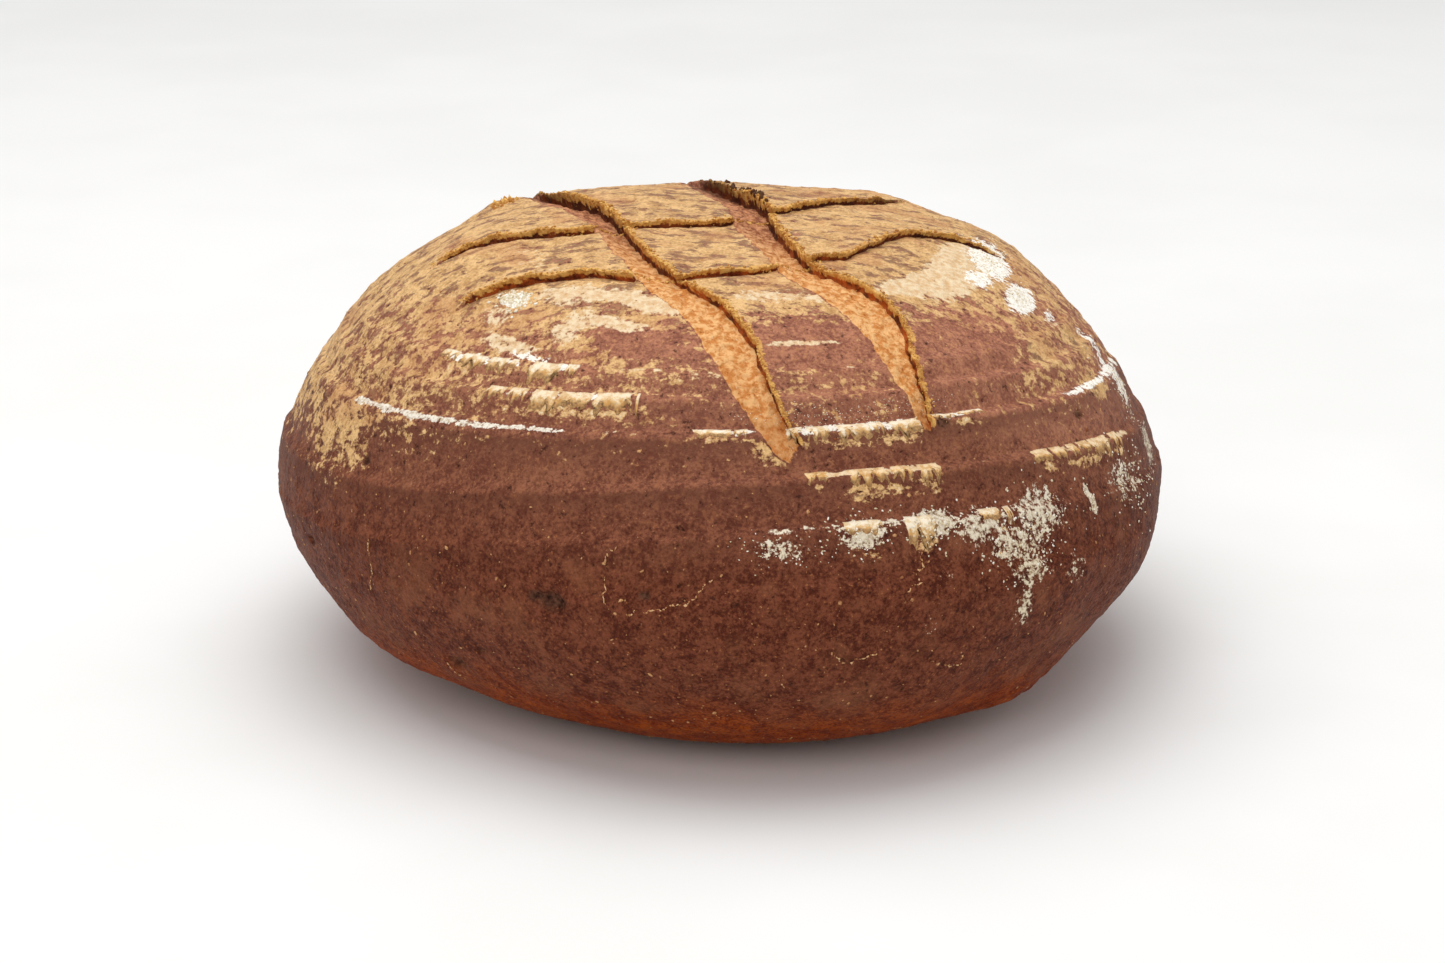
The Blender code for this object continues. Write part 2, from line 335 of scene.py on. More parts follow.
# Torn skin: runs of (azimuth in degrees, height in mm) stops
SKIN_TEARS = (
    ((-106, 64), (-106, 58), (-104, 55), (-99, 57), (-95, 60), (-92, 67)),
    ((-107, 67), (-105, 71)),
    ((-78, 45), (-76, 42), (-71, 45)),
    ((-65, 39), (-61, 36), (-61, 41)),
    ((-84, 41), (-84, 35)),
    ((-66, 72), (-67, 65), (-69, 60)),
    ((-144, 58), (-144, 49), (-145, 43)),
    ((-134, 26), (-133, 22)),
    ((40, 55), (44, 48), (50, 46)),
    ((100, 62), (108, 57), (113, 60)),
    ((165, 50), (170, 44)),
)
# Heaps of raw flour: (azimuth in degrees, walk in mm, spread around, spread down in mm, grains, size in mm)
FLOUR_HEAPS = (
    (-142, 79, 4.6, 3, 200, 0.60),
    (-2, 75, 13, 6, 240, 0.34),
    (-13, 86, 6, 2.6, 110, 0.32),
    (-64, 139, 7, 4, 110, 0.36),
    (-73.5, 139, 6.5, 4.5, 100, 0.34),
    (-50, 146, 14, 9, 240, 0.38),
    (-36.5, 145, 1.2, 4, 60, 0.32),
    (-24, 147, 11, 8, 130, 0.38),
    (-84, 142, 9, 3.4, 80, 0.28),
    (-10, 128, 6, 12, 180, 0.26),
    (-73, 105, 24, 2, 240, 0.16),
    (62, 76, 8, 4, 120, 0.40),
    (96, 142, 12, 7, 180, 0.26),
    (140, 122, 9, 4, 120, 0.26),
)
# How strong the painted shade under each ledge is, where that painted shade starts and how far down it
# reaches
LEDGE_PAINTED_SHADES = (0.2, 0.35, 0.75, 0.60, 0.30, 0.0)
SHADE_START = 0.0014
SHADE_LENGTH = 0.0062
# Where a peak of crumbs stands on the skyline, in plan
PEAK_PLACE = (-0.066, 0.036)
# How rosy the crust is, and how much golden film it has, by the walk from the crown in mm
TOAST_BY_WALK = ((75.0, 100.0, 118.0, 152.0), (1.0, 0.80, 0.45, 0.0))
GOLD_BY_WALK = ((0.0, 55.0, 80.0, 100.0, 122.0, 150.0, 190.0), (0.66, 0.66, 0.50, 0.42, 0.20, 0.09, 0.0))
# How many mm further down the two reach at the back than at the front
TOAST_SLIDE = 20.0
GOLD_SLIDE = 56.0
# How streaks of film are squeezed along each axis
STREAK_SQUEEZE = (0.62, 1.25, 1.55)
# Mm on the belly for each degree around
DEGREE_ON_BELLY = 2.1
# The longest walk from the crown at which bran flecks lie
FLECK_WALK = 0.235
# Paste plates: widths, cracks between them, cell of their mesh and how far above the ledge they start
PLATE_WIDTHS = (0.0045, 0.0120)
PLATE_CRACKS = (0.0005, 0.0022)
PLATE_CELL = 0.0006
PLATE_START = 0.0011
TEAR_STEP = 0.0004


def smooth_ramp(value):
    clipped = np.clip(value, 0.0, 1.0)
    return clipped * clipped * (3.0 - 2.0 * clipped)


class Profile:
    """The loaf's half section, walked from the crown down the side to the middle of the base."""

    def __init__(self, settings):
        self.out = settings.loaf_radius
        self.top = settings.loaf_height
        self.belly = settings.belly_height
        self.foot = settings.base_radius
        quarter = np.linspace(0.0, math.pi / 2.0, PROFILE_SAMPLES)
        out, up = np.cos(quarter), np.sin(quarter)
        dome_r = self.out * out ** (2.0 / DOME_FULLNESS_OUT)
        dome_z = self.belly + (self.top - self.belly) * up ** (2.0 / DOME_FULLNESS_UP)
        under_r = self.foot + (self.out - self.foot) * out ** (2.0 / BELLY_FULLNESS_OUT)
        under_z = self.belly * (1.0 - up ** (2.0 / BELLY_FULLNESS_DOWN))
        self.radius = np.concatenate([dome_r[::-1], under_r[1:], [0.0]])
        self.height = np.concatenate([dome_z[::-1], under_z[1:], [0.0]])
        self.radius[0] = 0.0
        self.height[-2] = 0.0
        steps = np.hypot(np.diff(self.radius), np.diff(self.height))
        self.walk = np.concatenate([[0.0], np.cumsum(steps)])
        self.base_edge = self.walk[-2]
        self.front = self.anchors(0)
        self.back = self.anchors(1)

    def walk_at_height(self, height):
        return np.interp(-height, -self.height[:-1], self.walk[:-1])

    def point(self, walk):
        return np.interp(walk, self.walk, self.radius), np.interp(walk, self.walk, self.height)

    def normal(self, walk):
        reach = 0.002
        r_before, z_before = self.point(walk - reach)
        r_after, z_after = self.point(walk + reach)
        out, up = z_before - z_after, r_after - r_before
        length = np.maximum(np.hypot(out, up), 1e-9)
        return out / length, up / length

    def anchors(self, column):
        """Walk of the crown, each ledge and the base, at the front (column 0) or the back (1)."""
        ledges = [self.walk_at_height(ledge[column]) for ledge in COIL_LEDGES]
        return np.array([0.0] + ledges + [self.base_edge, self.walk[-1]])

    def settled(self, row, azimuth):
        """The coils sit higher at the front than at the back, so rows slide down to the back."""
        facing = ((1.0 + np.cos(azimuth - COIL_FRONT_AZIMUTH)) / 2.0) ** COIL_FRONT_SHARPNESS
        return facing * row + (1.0 - facing) * np.interp(row, self.front, self.back)

    def row_at(self, walk, azimuth):
        """The row that settles at this walk, for one azimuth."""
        return float(np.interp(walk, self.settled(self.front, azimuth), self.front))


def plan_scale(azimuth):
    scale = np.ones_like(azimuth)
    for count, share, crest in PLAN_LOBES:
        scale += share * np.cos(count * (azimuth - math.radians(crest)))
    return scale


def smooth_path(stops):
    """A smooth curve through a row of stops, sampled evenly between them."""
    stops = np.array(stops, float)
    padded = np.vstack([2.0 * stops[0] - stops[1], stops, 2.0 * stops[-1] - stops[-2]])
    along = np.linspace(0.0, len(stops) - 1.0, PATH_SAMPLES)
    index = np.minimum(along.astype(int), len(stops) - 2)
    share = (along - index)[:, None]
    before, start, end, after = (padded[index + k] for k in range(4))
    return 0.5 * (
        2.0 * start
        + (end - before) * share
        + (2.0 * before - 5.0 * start + 4.0 * end - after) * share ** 2
        + (3.0 * start - before - 3.0 * end + after) * share ** 3
    )


def lumps(points, size, shift=0.0, octaves=1):
    """Smooth noise of one lump size at each point, about -1 to 1."""
    offset = Vector((shift, -shift, 0.5 * shift))
    if octaves == 1:
        return np.array([noise.noise(Vector(point) / size + offset) for point in points])
    return np.array([noise.fractal(Vector(point) / size + offset, 0.8, 2.1, octaves) for point in points])


class Slash:
    """One slash: where it runs in plan, how deep it opened and how far its edge lifted."""

    def __init__(self, stops, depth, lip):
        self.path = smooth_path(stops)
        self.depth = depth
        self.lip = lip

    def place(self, points):
        """For each point: signed distance across, share along, half width and direction to the wall."""
        starts, spans = self.path[:-1, :2], np.diff(self.path[:, :2], axis=0)
        offsets = points[:, None, :2] - starts[None]
        share = np.clip((offsets * spans).sum(-1) / (spans ** 2).sum(-1), 0.0, 1.0)
        gaps = offsets - share[..., None] * spans
        distance = np.hypot(gaps[..., 0], gaps[..., 1])
        nearest = distance.argmin(axis=1)
        rows = np.arange(len(points))
        gap, span = gaps[rows, nearest], spans[nearest]
        side = np.sign(span[:, 0] * gap[:, 1] - span[:, 1] * gap[:, 0])
        along = (nearest + share[rows, nearest]) / (len(self.path) - 1.0)
        half_width = np.interp(along, np.linspace(0.0, 1.0, len(self.path)), self.path[:, 2])
        wall_way = np.stack([-span[:, 1], span[:, 0]], axis=1)
        wall_way /= np.linalg.norm(wall_way, axis=1)[:, None]
        return side * distance[rows, nearest], along, half_width, wall_way

    def relief(self, points, ragged, lifts):
        """Relief, shares of floor, of the wall's foot (where painted shade goes) and of the lifted edge, and
        sideways overhang at each point.
        """
        count = len(points)
        relief, floor, dark, edge = (np.zeros(count) for _ in range(4))
        overhang = np.zeros((count, 2))
        reach = self.path[:, :2]
        plan = points[:, :2]
        near = np.all((plan > reach.min(0) - SLASH_MARGIN) & (plan < reach.max(0) + SLASH_MARGIN), axis=1)
        near &= points[:, 2] > SLASH_LOWEST
        if not near.any():
            return relief, floor, dark, edge, overhang
        across_m, along, half_width, wall_way = self.place(points[near])
        across = (across_m + ragged[near]) / half_width
        ends = smooth_ramp(np.minimum(along / END_FADES[0], (1.0 - along) / END_FADES[1]))
        wall = smooth_ramp((across - WALL_STARTS) / (1.0 - WALL_STARTS))
        low = smooth_ramp((across + 1.0) / (0.8 + WALL_STARTS)) * (1.0 - wall)
        beyond = np.maximum(across - 1.0, 0.0) * half_width
        lifted = wall * np.exp(-beyond / LIP_FALL_OFF) * lifts[near]
        depth = self.depth * np.interp(along, *SLASH_DEPTHS)
        floor[near] = ends * smooth_ramp((across + 1.05) / 0.22) * (1.0 - wall)
        # The wall's foot under the lifted edge is the share that gets painted shade
        foot_of_wall = smooth_ramp((across - WALL_STARTS + 0.16) / 0.16)
        dark[near] = ends * foot_of_wall * smooth_ramp((1.06 - across) / 0.10)
        edge[near] = ends * wall * np.exp(-(beyond / EDGE_WIDTH) ** 2)
        relief[near] = ends * (self.lip * lifted - depth * low)
        lean = LIP_OVERHANG * ends * wall * np.exp(-(beyond / OVERHANG_WIDTH) ** 2)
        overhang[near] = -wall_way * lean[:, None]
        return relief, floor, dark, edge, overhang


def make_slashes():
    long_ones = [Slash(stops, LONG_SLASH_DEPTH, LONG_SLASH_LIP) for stops in LONG_SLASHES]
    short_ones = [Slash(stops, SHORT_SLASH_DEPTH, SHORT_SLASH_LIP) for stops in SHORT_SLASHES]
    return long_ones, short_ones


class Crust:
    """The loaf's surface: any row and azimuth gives a point, a direction out and what lies there."""

    def __init__(self, settings):
        self.profile = Profile(settings)
        self.grain = settings.grain_depth
        self.long_slashes, self.short_slashes = make_slashes()
        self.shift = np.zeros(3)

    def bare(self, row, azimuth):
        """Points and outward directions before any relief."""
        walk = self.profile.settled(row, azimuth)
        radius, height = self.profile.point(walk)
        out, up = self.profile.normal(walk)
        scale = plan_scale(azimuth)
        cos, sin = np.cos(azimuth), np.sin(azimuth)
        points = np.stack([radius * scale * cos, radius * scale * sin, height], axis=1)
        rise = np.clip((height - self.profile.belly) / (self.profile.top - self.profile.belly), 0.0, 1.0)
        points[:, 2] -= CROWN_LEAN * points[:, 0] * rise
        return walk, points, np.stack([out * cos, out * sin, up], axis=1)

    def ledge_relief(self, row, azimuth, points):
        """Below each coil mark the crust stands proud, and it falls back to the next mark."""
        places, reliefs = [0.0], [0.0]
        for front_height, _, depth in COIL_LEDGES:
            mark = self.profile.walk_at_height(front_height)
            places += [mark - LEDGE_HALF_WIDTH, mark + LEDGE_HALF_WIDTH]
            reliefs += [-0.5 * depth, 0.5 * depth]
        places += [places[-1] + LEDGE_TAIL, self.profile.walk[-1]]
        reliefs += [0.0, 0.0]
        facing = (1.0 + np.cos(azimuth - COIL_FRONT_AZIMUTH)) / 2.0
        fade = (0.8 + 0.2 * np.sin(3.0 * azimuth + 40.0 * row)) * (0.35 + 0.65 * facing ** 1.5)
        wobble = 0.0006 * lumps(points, 0.012, 7.0) + 0.0003 * lumps(points, 0.003, 3.0)
        return np.interp(row + wobble, places, reliefs) * fade

    def hollows(self, points):
        relief = np.zeros(len(points))
        for azimuth, height, spread, amount in HOLLOWS_AND_BULGES:
            centre = self.at(azimuth, self.profile.walk_at_height(height))[0]
            gap = np.linalg.norm(points - centre, axis=1)
            relief += amount * np.exp(-((gap / spread) ** 2))
        return relief

    def pits(self, points, ragged):
        """How far each point lies in a hole in the skin, 0 to 1, and how deep that is."""
        share, depth = np.zeros(len(points)), np.zeros(len(points))
        for azimuth, height, radius, deep in PITS:
            centre = self.at(azimuth, self.profile.walk_at_height(height))[0]
            gap = (points - centre) * np.array([0.8, 0.8, 1.25])
            inside = smooth_ramp((1.25 * radius - np.linalg.norm(gap, axis=1) + ragged) / (0.6 * radius))
            share = np.maximum(share, inside)
            depth = np.maximum(depth, inside * deep)
        return share, depth

    def wrinkles(self, points):
        """Silky folds where the skin slid down on the front of the belly."""
        centre = self.at(*FOLD_PLACE)[0]
        gap = (points - centre) / np.array(FOLD_SPREAD)
        patch = np.exp(-(gap ** 2).sum(axis=1))
        drift = 0.004 * lumps(points, 0.018, 21.0)
        folds = np.sin((points[:, 2] - 0.45 * points[:, 0] + drift) * math.tau / FOLD_PITCH)
        return FOLD_DEPTH * patch * folds

    def surface(self, row, azimuth):
        """Points, outward directions and the shares of each kind of surface."""
        walk, points, normals = self.bare(row, azimuth)
        ragged = 0.0009 * lumps(points, 0.0060, 11.0) + 0.0004 * lumps(points, 0.0019, 5.0)
        lifts = 1.0 + 0.9 * lumps(points, 0.0075, 17.0)
        relief, overhang = np.zeros(len(points)), np.zeros((len(points), 2))
        torn, slit, edge = (np.zeros(len(points)) for _ in range(3))
        for slash in self.long_slashes + self.short_slashes:
            amount, floor, dark, lifted, lean = slash.relief(points, ragged, lifts)
            is_long = slash in self.long_slashes
            whole = np.ones(len(points)) if is_long else 1.0 - torn
            relief += amount * whole
            overhang += lean * whole[:, None]
            slit = np.maximum(slit, dark * whole)
            edge = np.maximum(edge, lifted * whole)
            if is_long:
                torn = np.maximum(torn, floor)
        on_dome = smooth_ramp((points[:, 2] - self.profile.belly) / DOME_BLEND)
        relief *= on_dome
        relief += self.ledge_relief(row, azimuth, points) * (1.0 - torn)
        relief += self.hollows(points) + UNEVENNESS * lumps(points, UNEVENNESS_LUMP)
        relief += self.wrinkles(points)
        pit_in_shade, pit_depth = self.pits(points, ragged)
        relief -= pit_depth
        relief += self.grain * (lumps(points, 0.0042, 1.0, 3) + 1.6 * torn * lumps(points, 0.0026, 9.0, 2))
        still = smooth_ramp(points[:, 2] / STILL_BELOW)
        rough_foot = FOOT_ROUGHNESS * lumps(points, 0.003, 13.0) * (walk < self.profile.base_edge)
        relief = relief * still + rough_foot * (1.0 - still) * smooth_ramp(points[:, 2] / 0.003)
        points = points + normals * relief[:, None]
        points[:, :2] += overhang * on_dome[:, None]
        points[walk >= self.profile.base_edge - 1e-6, 2] = 0.0
        points[:, 2] = np.maximum(points[:, 2], 0.0)
        fields = {"walk": walk, "pit_in_shade": pit_in_shade}
        fields.update(torn=torn * on_dome, slit=slit * on_dome, edge=edge * on_dome)
        return points + self.shift, normals, fields

    def centre(self, points):
        """Sets the shift that puts the middle of the loaf's box where the CAD box has it."""
        middle = (points.min(axis=0) + points.max(axis=0)) / 2.0
        wanted = (np.array(LOAF_LOW) + np.array(LOAF_HIGH)) / 2.0
        self.shift = np.array([wanted[0] - middle[0], wanted[1] - middle[1], 0.0])
        return self.shift

    def at(self, azimuth_deg, walk):
        """The bare point, the outward direction and the row at one azimuth and walk."""
        turn = math.radians(azimuth_deg)
        row = self.profile.row_at(walk, turn)
        _, points, normals = self.bare(np.array([row]), np.array([turn]))
        return points[0], normals[0], row

    def wash(self, points, azimuth_deg, walk_mm, around_mm, down_mm):
        """A soft oval patch on the crust, 1 in its middle."""
        centre, normal, _ = self.at(azimuth_deg, walk_mm * MM)
        turn = math.radians(azimuth_deg)
        around = np.array([-math.sin(turn), math.cos(turn), 0.0])
        down = np.cross(around, normal)
        offset = points - self.shift - centre
        reach = (offset @ around / (around_mm * MM)) ** 2 + (offset @ down / (down_mm * MM)) ** 2
        depth = (offset @ normal / 0.02) ** 2
        return np.exp(-reach ** 1.6 - depth)

    def washed(self, share, points, washes):
        """A share with a table of washes added to it."""
        for azimuth_deg, walk_mm, around, down, amount in washes:
            share = share + amount * self.wash(points, azimuth_deg, walk_mm, around, down)
        return share

    def films(self, row, azimuth, points, fields):
        """How much golden film, cream film and white flour covers each point, 0 to 1."""
        away = (1.0 - np.cos(azimuth - COIL_FRONT_AZIMUTH)) / 2.0
        reach = fields["walk"] / MM - GOLD_SLIDE * away
        gold = self.washed(np.interp(reach, *GOLD_BY_WALK), points, GOLD_WASHES)
        cream = self.washed(np.zeros(len(points)), points, CREAM_WASHES)
        flour = np.zeros(len(points))
        for azimuth_deg, walk_mm, around, down, amount in FLOUR_WASHES:
            flour = np.maximum(flour, amount * self.wash(points, azimuth_deg, walk_mm, around, down))
        degrees = np.degrees(azimuth)
        uneven = 0.5 + 0.5 * lumps(points, 0.006, 31.0)
        wobble = 0.0006 * lumps(points, 0.0022, 41.0)
        for ledge, first, last, strength, half_width, golden in LEDGE_FLOUR:
            mark = self.profile.walk_at_height(COIL_LEDGES[ledge][0])
            down = (row + wobble - mark) / (half_width * MM)
            band = np.exp(-(down - 0.2) ** 2) * smooth_ramp((degrees - first) / 3.0)
            band *= smooth_ramp((last - degrees) / 3.0) * strength * (0.35 + 0.9 * uneven)
            flour = np.maximum(flour, band * (1.0 - golden))
            cream = np.maximum(cream, band * (0.4 + 0.6 * golden))
        for ledge, first, last, drop_mm, _ in PASTE_PLATES:
            down = (row + wobble - self.profile.walk_at_height(COIL_LEDGES[ledge][0])) / (drop_mm * MM)
            skirt = smooth_ramp(down) * smooth_ramp((2.4 - down) / 1.6)
            skirt *= smooth_ramp((degrees - first) / 4.0 + 0.5) * smooth_ramp((last - degrees) / 4.0 + 0.5)
            gold = np.maximum(gold, 0.50 * skirt)
            cream = np.maximum(cream, 0.34 * skirt)
        # Painted shade: the crust just under each ledge is darkened, fading further down; kept as the shade
        # attribute
        shade = np.zeros(len(points))
        for (front_height, _, _), strength in zip(COIL_LEDGES, LEDGE_PAINTED_SHADES):
            down = (row + wobble - self.profile.walk_at_height(front_height) - SHADE_START) / SHADE_LENGTH
            fall = np.exp(-np.maximum(down, 0.0) ** 2)
            shade = np.maximum(shade, strength * smooth_ramp(5.0 * down) * fall)
        fields["shade"] = shade
        closed = 1.0 - np.maximum(fields["torn"], fields["slit"])
        return [np.clip(film, 0.0, 1.0) * closed for film in (gold, cream, flour)]


# ---------------------------------------------------------------- meshes


def row_and_azimuth(profile, directions):
    """An even sheet of directions laid over the loaf from crown to base."""
    directions = directions / np.linalg.norm(directions, axis=1)[:, None]
    polar = np.arccos(np.clip(directions[:, 2], -1.0, 1.0))
    return polar / math.pi * profile.walk[-1], np.arctan2(directions[:, 1], directions[:, 0])


def vert_array(shape):
    return np.array([vert.co[:] for vert in shape.verts])


def refine(shape, chosen):
    """Splits every edge that touches a chosen vertex."""
    shape.verts.index_update()
    edges = [edge for edge in shape.edges if chosen[edge.verts[0].index] or chosen[edge.verts[1].index]]
    bmesh.ops.subdivide_edges(shape, edges=edges, cuts=1, use_grid_fill=True)


def near_slashes(crust, shape, reach, at_wall):
    """Which vertices lie over a slash, or right at a slash's wall."""
    row, azimuth = row_and_azimuth(crust.profile, vert_array(shape))
    _, points, _ = crust.bare(row, azimuth)
    chosen = np.zeros(len(points), bool)
    on_dome = np.flatnonzero(points[:, 2] > 0.075)
    for slash in crust.long_slashes + crust.short_slashes:
        across, along, half_width, _ = slash.place(points[on_dome])
        inside = (along > 0.001) & (along < 0.999)
        if at_wall:
            hit = np.abs(across - half_width * (1.0 + WALL_STARTS) / 2.0) < reach
        else:
            hit = np.abs(across) < half_width + reach
        chosen[on_dome[hit & inside]] = True
    return chosen


def new_piece(name, mesh, fields, material):
    """Makes a piece that rides on the loaf's body, with its shares as attributes."""
    for field, values in fields.items():
        attribute = mesh.attributes.new(field, "FLOAT", "POINT")
        attribute.data.foreach_set("value", np.asarray(values, np.float32))
    mesh.shade_smooth()
    mesh.materials.append(material)
    piece = bpy.data.objects.new(name, mesh)
    bpy.context.scene.collection.objects.link(piece)
    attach(piece, BODY)
    return piece


def mesh_from(name, shape):
    mesh = bpy.data.meshes.new(name)
    shape.to_mesh(mesh)
    shape.free()
    return mesh


def build_crust(crust, fineness):
    shape = bmesh.new()
    bmesh.ops.create_icosphere(shape, subdivisions=fineness, radius=1.0)
    refine(shape, near_slashes(crust, shape, 0.003, False))
    refine(shape, near_slashes(crust, shape, 0.0012, True))
    bmesh.ops.triangulate(shape, faces=shape.faces)
    row, azimuth = row_and_azimuth(crust.profile, vert_array(shape))
    points, _, fields = crust.surface(row, azimuth)
    points = points + crust.centre(points)
    for vert, point in zip(shape.verts, points):
        vert.co = point
    bmesh.ops.recalc_face_normals(shape, faces=shape.faces)
    gold, cream, flour = crust.films(row, azimuth, points, fields)
    away = (1.0 - np.cos(azimuth - COIL_FRONT_AZIMUTH)) / 2.0
    toast = np.interp(fields.pop("walk") / MM - TOAST_SLIDE * away, *TOAST_BY_WALK)
    shares = {
        **fields, "gold": gold, "cream": cream, "flour": flour,
        "toast": crust.washed(toast, points, ROSY_WASHES),
        "back": smooth_ramp((points[:, 1] + 0.050) / 0.060),
        "burnt": smooth_ramp((points[:, 1] - 0.020) / 0.030),
    }
    return mesh_from("crust", shape), shares


class Scatter:
    """Collects small irregular lumps and joins them in one mesh, each with its own tone and burn."""

    def __init__(self, seed):
        self.random = np.random.default_rng(seed)
        self.lots = []

    def add(self, points, normals, sizes, flat=0.6, stretch=1.0, lie=None, burns=0.0):
        """Lumps at these points: radius, height share, length share and the way they lie."""
        count = len(points)
        if lie is None:
            lie = self.random.normal(size=(count, 3))
        burns = np.broadcast_to(burns, count)
        shapes = np.asarray(sizes), np.full(count, flat), np.full(count, stretch)
        self.lots.append((points, normals, *shapes, lie, burns))

    def finish(self, name, material):
        points, normals, sizes, flat, stretch, lie, burns = (np.concatenate(part) for part in zip(*self.lots))
        shape = bmesh.new()
        bmesh.ops.create_icosphere(shape, subdivisions=1, radius=1.0)
        corners = vert_array(shape)
        sides = np.array([[vert.index for vert in face.verts] for face in shape.faces])
        shape.free()
        count = len(points)
        along = lie - normals * (lie * normals).sum(axis=1)[:, None]
        along /= np.linalg.norm(along, axis=1)[:, None]
        across = np.cross(normals, along)
        swell = self.random.normal(size=(count, len(corners), 1)).clip(-2.0, 2.0)
        body = corners[None] * (1.0 + 0.24 * swell) * sizes[:, None, None]
        uneven = self.random.uniform(0.7, 1.35, count)
        verts = points[:, None] + body[..., :1] * (along * (stretch * uneven)[:, None])[:, None]
        verts += body[..., 1:2] * (across / uneven[:, None])[:, None]
        verts += body[..., 2:] * (normals * flat[:, None])[:, None]
        verts[..., 2] = verts[..., 2].clip(0.0)
        faces = sides[None] + len(corners) * np.arange(count)[:, None, None]
        mesh = bpy.data.meshes.new(name)
        mesh.from_pydata(verts.reshape(-1, 3).tolist(), [], faces.reshape(-1, 3).tolist())
        tones = np.repeat(self.random.uniform(size=count), len(corners))
        return new_piece(name, mesh, {"tone": tones, "burn": np.repeat(burns, len(corners))}, material)


def dome_place(crust, x, y):
    """Row and azimuth of the dome above a plan point."""
    profile = crust.profile
    azimuth = math.atan2(y, x)
    radius = math.hypot(x, y) / float(plan_scale(np.array([azimuth]))[0])
    belly = int(np.argmax(profile.radius))
    walk = float(np.interp(radius, profile.radius[:belly], profile.walk[:belly]))
    return profile.row_at(walk, azimuth), azimuth


def surface_points(crust, places):
    rows, azimuths = np.array(places).T
    points, normals, _ = crust.surface(rows, azimuths)
    return points, normals


def along_wall(crust, slash, count, draw, first, last, slip):
    """Places scattered along a slash's lifted edge, with each one's share along and its plan y."""
    places, shares = [], []
    for _ in range(count):
        along = draw.uniform(first, last)
        index = min(int(along * (PATH_SAMPLES - 1)), PATH_SAMPLES - 2)
        here, after = Vector(slash.path[index]), Vector(slash.path[index + 1])
        way = (after - here).xy.normalized()
        spot = here.xy + Vector((-way.y, way.x)) * (here.z + abs(draw.gauss(0.0, slip)))
        spot += way * draw.uniform(-0.0015, 0.0015)
        places.append(dome_place(crust, spot.x, spot.y))
        shares.append((along, spot.y))
    return places, np.array(shares)


def build_slash_crumbs(crust, count):
    """Toasted crumbs on the lifted edges of the slashes, and the burnt spikes at the far end."""
    heap = Scatter(11)
    draw = random.Random(11)
    for slash in crust.long_slashes + crust.short_slashes:
        is_long = slash in crust.long_slashes
        number = count if is_long else count * 3 // 4
        places, shares = along_wall(crust, slash, number, draw, 0.05, 0.95, 0.0008)
        points, normals = surface_points(crust, places)
        sizes = heap.random.uniform(0.00018, 0.00055, len(points))
        if is_long:
            sizes *= np.interp(shares[:, 0], [0.0, 0.5, 0.8], [1.3, 1.0, 0.6])
        burns = 0.7 * smooth_ramp((shares[:, 1] - 0.030) / 0.026)
        heap.add(points + normals * 0.0001, normals, sizes, 0.8, 1.0, None, burns)
    places, shares = along_wall(crust, crust.long_slashes[1], 34, draw, 0.08, 0.22, 0.0016)
    points, normals = surface_points(crust, places)
    heap.add(points, normals, heap.random.uniform(0.0003, 0.0008, len(points)), 1.7, 0.9, None, 0.92)
    places = [dome_place(crust, *PEAK_PLACE) for _ in range(40)]
    places = [(row + draw.gauss(0.0, 0.0011), azimuth + draw.gauss(0.0, 0.03)) for row, azimuth in places]
    points, normals = surface_points(crust, places)
    heap.add(points, normals, heap.random.uniform(0.0003, 0.0008, len(points)), 1.5)
    return heap


def build_skin_tears(crust, step):
    """Thin raised lines of dry torn skin on the belly."""
    heap = Scatter(23)
    draw = random.Random(23)
    for stops in SKIN_TEARS:
        path = smooth_path([(*stop, 0.0) for stop in stops])[:, :2]
        legs = np.diff(path, axis=0) * np.array([DEGREE_ON_BELLY, 1.0])
        lengths = np.concatenate([[0.0], np.cumsum(np.hypot(legs[:, 0], legs[:, 1]))])
        spots = np.arange(0.0, lengths[-1], step / MM)
        sway = np.array([noise.noise(Vector((spot / 2.2, path[0, 0], 0.0))) for spot in spots])
        flick = np.array([draw.gauss(0.0, 0.12) for _ in spots])
        turns = np.radians(np.interp(spots, lengths, path[:, 0]) + 0.7 * sway + 0.5 * flick)
        heights = (np.interp(spots, lengths, path[:, 1]) - 1.3 * sway + flick) * MM
        walks = crust.profile.walk_at_height(heights)
        places = [(crust.profile.row_at(walk, turn), turn) for walk, turn in zip(walks, turns)]
        points, normals = surface_points(crust, places)
        keep = heap.random.uniform(size=len(spots)) < 0.62 + 0.6 * sway
        sizes = heap.random.uniform(0.00010, 0.00026, len(spots)) * (1.0 + 0.8 * sway)
        lie = np.gradient(points, axis=0) + 1e-5
        heap.add(points[keep], normals[keep], sizes[keep], 0.9, 2.0, lie[keep])
    return heap


def build_bran_flecks(crust, count):
    """Flecks of toasted bran and stray crumbs that stick to the crust all over."""
    heap = Scatter(37)
    draw = random.Random(37)
    places = []
    for _ in range(count):
        turn = draw.uniform(-math.pi, math.pi)
        places.append((crust.profile.row_at(math.sqrt(draw.uniform(0.05, 1.0)) * FLECK_WALK, turn), turn))
    points, normals = surface_points(crust, places)
    sizes = np.minimum(0.00016 + heap.random.exponential(0.00010, count), 0.0007)
    heap.add(points, normals, sizes, 0.4)
    return heap


def build_flour_grains(crust):
    """Clotted grains of raw flour where the basket left the most."""
    heap = Scatter(53)
    draw = random.Random(53)
    for azimuth_deg, walk_mm, around, down, grains, grain_mm in FLOUR_HEAPS:
        radius, _ = crust.profile.point(walk_mm * MM)
        places = []
        for _ in range(grains):
            turn = math.radians(azimuth_deg) + draw.gauss(0.0, around * 0.7 * MM) / float(radius)
            places.append((crust.profile.row_at((walk_mm + draw.gauss(0.0, down * 0.7)) * MM, turn), turn))
        points, normals = surface_points(crust, places)
        heap.add(points, normals, grain_mm * MM * heap.random.uniform(0.35, 1.1, grains), 0.7)
    return heap


